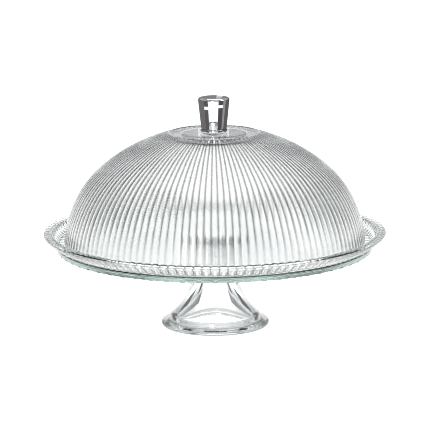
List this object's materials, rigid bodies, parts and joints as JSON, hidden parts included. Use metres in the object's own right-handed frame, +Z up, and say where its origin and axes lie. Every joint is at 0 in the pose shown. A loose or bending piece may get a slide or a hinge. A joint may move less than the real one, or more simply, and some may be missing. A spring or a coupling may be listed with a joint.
{
  "type": "footed cake stand with glass dome cover",
  "caption": "Footed glass cake stand with a raised beaded rim and a lift-off ribbed glass dome that has a tapered metal knob.",
  "frame": {"origin": "centre of the pedestal ring's underside, on the surface it stands on", "axes": "+Z up along the axis of the plate, cover and knob; X and Y lie in the table plane and are interchangeable"},
  "size_m": [0.3699, 0.37, 0.2499],
  "materials": {
    "cover_glass": "clear pressed glass, polished, ribbed",
    "plate_glass": "clear pressed glass with a green edge, polished",
    "foot_glass": "clear pressed glass, polished",
    "clear_bond": "clear cured adhesive",
    "clear_silicone": "translucent silicone, satin",
    "knob_metal": "polished chrome plate",
    "fastener_steel": "stainless steel, satin"
  },
  "bodies": {
    "stand": {"foot": "foot_glass", "foot_bond": "clear_bond", "plate": "plate_glass"},
    "knob_set": {"knob": "knob_metal", "knob_base_ring": "knob_metal", "upper_gasket": "clear_silicone", "lower_gasket": "clear_silicone", "washer": "fastener_steel", "screw": "fastener_steel"},
    "cover": {"cover": "cover_glass"}
  },
  "joints": [
    {"name": "cover_lift", "type": "slide", "parent": "stand", "child": "knob_set", "axis": [0, 0, 1], "range_m": [0, 0.25]},
    {"name": "cover_turn", "type": "hinge", "parent": "knob_set", "child": "cover", "pos_m": [0, 0, 0.2078], "axis": [0, 0, 1], "continuous": true}
  ]
}
